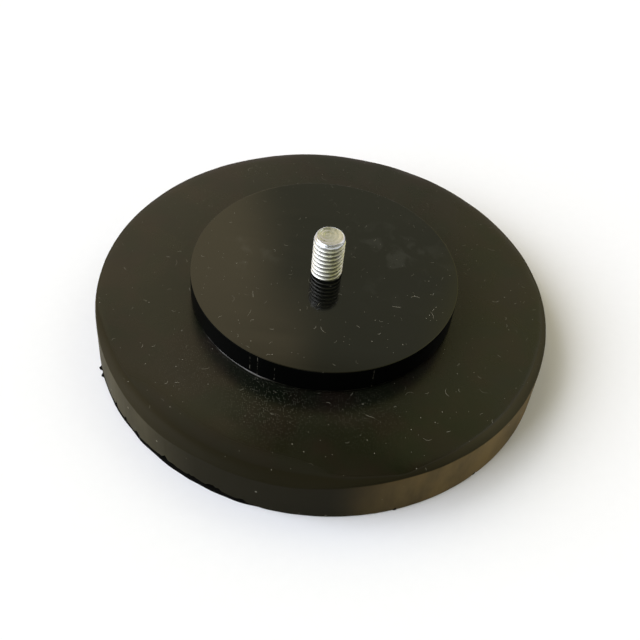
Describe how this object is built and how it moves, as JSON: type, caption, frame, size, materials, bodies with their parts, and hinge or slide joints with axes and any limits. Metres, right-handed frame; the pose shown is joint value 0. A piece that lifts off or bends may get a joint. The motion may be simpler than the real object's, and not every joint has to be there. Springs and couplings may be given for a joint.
{
  "type": "rubber coated holding magnet",
  "caption": "Round rubber-coated holding magnet with a threaded stud standing up from its centre through a glossy black spacer disc.",
  "frame": {"origin": "centre of the flat magnetic face, at the bottom of the object", "axes": "+Z along the stud's axis, from the magnetic face towards the stud's free end; the object is round, so +X and +Y only fix where the first magnet of each ring stands"},
  "size_m": [0.088, 0.088, 0.0249],
  "materials": {
    "jacket_rubber": "semi-matte moulded rubber, brownish black, fine grain",
    "skin_rubber": "matte rubber with a trimmed, slightly ragged edge",
    "black_acrylic": "polished gloss black, light smudges and fine scratches",
    "adhesive": "cured adhesive, dull",
    "zinc_plated_steel": "bright zinc plate with a faint yellow tint, rolled thread",
    "plate_steel": "plain punched steel, light zinc flash",
    "nickel_plate": "nickel-plated sintered magnet, satin bright"
  },
  "bodies": {
    "root": {"base_skin": "skin_rubber", "rubber_jacket": "jacket_rubber", "magnet_outer_01": "nickel_plate", "magnet_outer_02": "nickel_plate", "magnet_outer_03": "nickel_plate", "magnet_outer_04": "nickel_plate", "magnet_outer_05": "nickel_plate", "magnet_outer_06": "nickel_plate", "magnet_outer_07": "nickel_plate", "magnet_outer_08": "nickel_plate", "magnet_outer_09": "nickel_plate", "magnet_outer_10": "nickel_plate", "magnet_outer_11": "nickel_plate", "magnet_outer_12": "nickel_plate", "magnet_inner_01": "nickel_plate", "magnet_inner_02": "nickel_plate", "magnet_inner_03": "nickel_plate", "magnet_inner_04": "nickel_plate", "magnet_inner_05": "nickel_plate", "magnet_inner_06": "nickel_plate", "steel_plate": "plate_steel", "threaded_stud": "zinc_plated_steel", "spacer_adhesive": "adhesive", "spacer_disc": "black_acrylic"}
  },
  "joints": []
}
